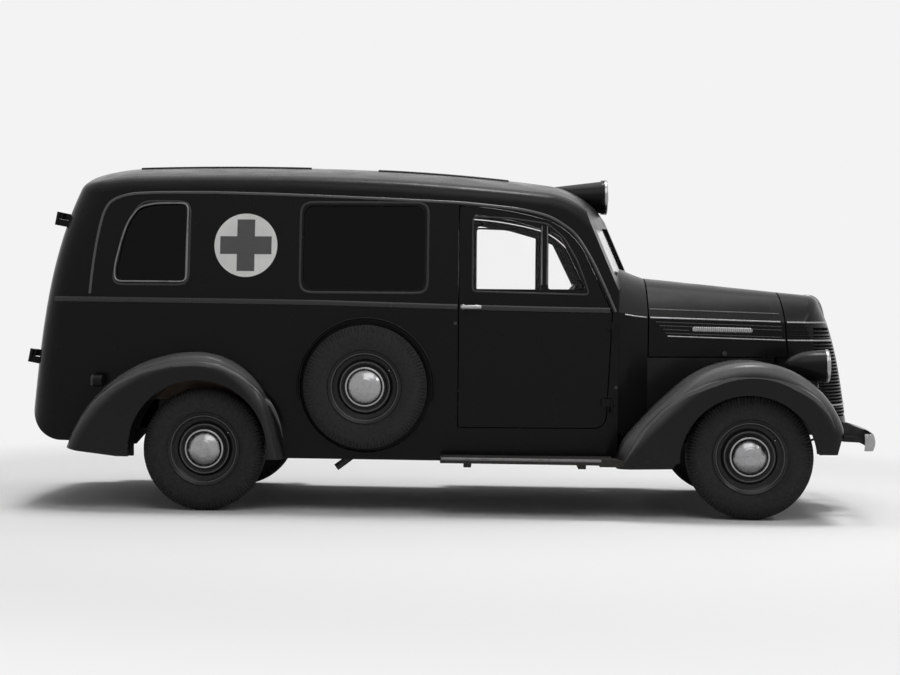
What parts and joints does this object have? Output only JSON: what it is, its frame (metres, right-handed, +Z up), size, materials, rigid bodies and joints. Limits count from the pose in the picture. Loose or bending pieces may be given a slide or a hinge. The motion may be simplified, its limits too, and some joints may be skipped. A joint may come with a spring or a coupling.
{
  "type": "panel-bodied ambulance truck",
  "caption": "Light ambulance truck with a rounded panel body, split windscreen, butterfly hood, opening doors, steered front wheels and a side-mounted spare wheel.",
  "frame": {"origin": "on the ground, under the middle of the vehicle's length and width", "axes": "+X forward along the vehicle, +Y to its left, +Z up"},
  "size_m": [5.0394, 1.83, 2.0775],
  "materials": {
    "body_paint": "near-black gloss enamel",
    "chassis_paint": "black semi-gloss",
    "castings": "black painted iron",
    "tyre_rubber": "black rubber",
    "wheel_paint": "near-black gloss enamel",
    "bright_metal": "bright plated",
    "glass": "clear flat glass",
    "lens_glass": "fluted clear glass",
    "seat_cover": "dark leathercloth",
    "board_rubber": "ribbed black rubber",
    "floor_boards": "oiled planks"
  },
  "bodies": {
    "chassis": {"frame_rails": "chassis_paint", "engine_block": "castings", "radiator": "castings", "leaf_springs": "chassis_paint", "rear_axle": "castings", "front_axle": "castings", "spare_tyre": "tyre_rubber", "spare_wheel": "wheel_paint", "body_side_right": "body_paint", "body_side_left": "body_paint", "roof_panel": "body_paint", "cowl": "body_paint", "floor_pan": "floor_boards", "body_glass": "glass", "grille_shell": "body_paint", "hood_hinge": "bright_metal", "front_fenders": "body_paint", "rear_fenders": "body_paint", "running_boards": "board_rubber", "headlamps": "body_paint", "lamp_lenses": "lens_glass", "tail_lamps": "body_paint", "bumper": "chassis_paint", "roof_lamp": "body_paint", "dashboard": "body_paint", "cab_seat": "seat_cover", "litter_benches": "seat_cover", "exhaust": "castings", "fuel_tank": "chassis_paint"},
    "cab_door_right": {"door_right": "body_paint", "door_glass_right": "glass"},
    "cab_door_left": {"door_left": "body_paint", "door_glass_left": "glass"},
    "rear_door_right": {"rear_door_right": "body_paint", "rear_glass_right": "glass"},
    "rear_door_left": {"rear_door_left": "body_paint", "rear_glass_left": "glass"},
    "hood_right": {"hood_right": "body_paint"},
    "hood_left": {"hood_left": "body_paint"},
    "steering_right": {"knuckle_right": "castings"},
    "steering_left": {"knuckle_left": "castings"},
    "tie_rod": {"tie_rod": "chassis_paint"},
    "wheel_front_right": {"tyre_front_right": "tyre_rubber", "wheel_front_right": "wheel_paint"},
    "wheel_front_left": {"tyre_front_left": "tyre_rubber", "wheel_front_left": "wheel_paint"},
    "wheel_rear_right": {"tyre_rear_right": "tyre_rubber", "wheel_rear_right": "wheel_paint"},
    "wheel_rear_left": {"tyre_rear_left": "tyre_rubber", "wheel_rear_left": "wheel_paint"}
  },
  "joints": [
    {"name": "cab_door_right_swing", "type": "hinge", "parent": "chassis", "child": "cab_door_right", "pos_m": [0.987, -0.706, 0.9], "axis": [0, 0, 1], "range_deg": [0, 65]},
    {"name": "cab_door_left_swing", "type": "hinge", "parent": "chassis", "child": "cab_door_left", "pos_m": [0.987, 0.706, 0.9], "axis": [0, 0, -1], "range_deg": [0, 65]},
    {"name": "rear_door_right_swing", "type": "hinge", "parent": "chassis", "child": "rear_door_right", "pos_m": [-2.49, -0.612, 0.9], "axis": [0.1877, 0, 0.9822], "range_deg": [0, 100]},
    {"name": "rear_door_left_swing", "type": "hinge", "parent": "chassis", "child": "rear_door_left", "pos_m": [-2.49, 0.612, 0.9], "axis": [-0.1877, 0, -0.9822], "range_deg": [0, 100]},
    {"name": "hood_right_lift", "type": "hinge", "parent": "chassis", "child": "hood_right", "pos_m": [1.202, 0, 1.377], "axis": [-0.9964, 0, 0.0846], "range_deg": [0, 55]},
    {"name": "hood_left_lift", "type": "hinge", "parent": "chassis", "child": "hood_left", "pos_m": [1.202, 0, 1.377], "axis": [0.9964, 0, -0.0846], "range_deg": [0, 55]},
    {"name": "steer_right", "type": "hinge", "parent": "chassis", "child": "steering_right", "pos_m": [1.773, -0.64, 0.362], "axis": [0, 0, 1], "range_deg": [-30, 30]},
    {"name": "steer_left", "type": "hinge", "parent": "chassis", "child": "steering_left", "pos_m": [1.773, 0.64, 0.362], "axis": [0, 0, 1], "range_deg": [-30, 30]},
    {"name": "tie_rod_shift", "type": "slide", "parent": "chassis", "child": "tie_rod", "axis": [0, 1, 0], "range_m": [-0.08, 0.08]},
    {"name": "wheel_front_right_spin", "type": "hinge", "parent": "steering_right", "child": "wheel_front_right", "pos_m": [1.773, -0.73, 0.362], "axis": [0, 1, 0], "continuous": true},
    {"name": "wheel_front_left_spin", "type": "hinge", "parent": "steering_left", "child": "wheel_front_left", "pos_m": [1.773, 0.73, 0.362], "axis": [0, 1, 0], "continuous": true},
    {"name": "wheel_rear_right_spin", "type": "hinge", "parent": "chassis", "child": "wheel_rear_right", "pos_m": [-1.402, -0.74, 0.362], "axis": [0, 1, 0], "continuous": true},
    {"name": "wheel_rear_left_spin", "type": "hinge", "parent": "chassis", "child": "wheel_rear_left", "pos_m": [-1.402, 0.74, 0.362], "axis": [0, 1, 0], "continuous": true}
  ],
  "couplings": [
    {"joint": "steer_left", "follows": "steer_right", "ratio": 1},
    {"joint": "tie_rod_shift", "follows": "steer_right", "m_per_rad": -0.15}
  ]
}
